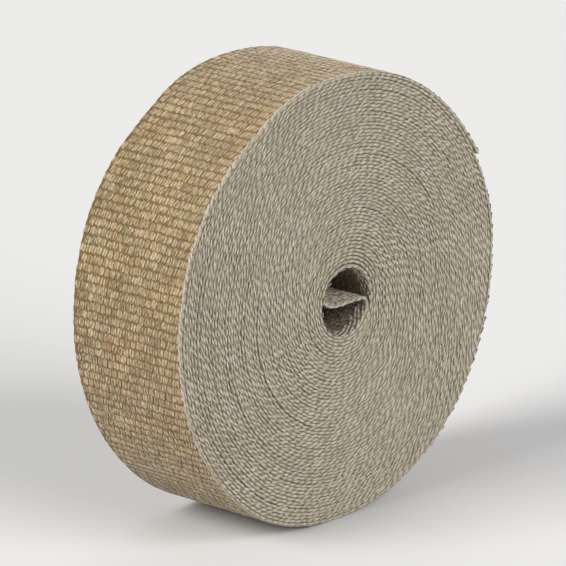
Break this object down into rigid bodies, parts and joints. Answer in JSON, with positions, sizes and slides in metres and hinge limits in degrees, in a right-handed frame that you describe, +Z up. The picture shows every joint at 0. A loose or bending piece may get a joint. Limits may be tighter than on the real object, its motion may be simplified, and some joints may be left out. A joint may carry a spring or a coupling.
{
  "type": "exhaust heat wrap",
  "caption": "Roll of woven glass-fibre exhaust wrap tape, wound on itself with no core, standing on its rim.",
  "frame": {"origin": "on the ground under the middle of the roll", "axes": "+Z up; +Y along the roll's axis from its domed front end to its dished back end; +X to the right as seen from the front"},
  "size_m": [0.16, 0.0538, 0.16],
  "materials": {
    "glass_fibre_tape": "matt golden tan woven glass fibre, greyer on the cut-thread edges"
  },
  "bodies": {
    "root": {"wrap_roll": "glass_fibre_tape"}
  },
  "joints": []
}
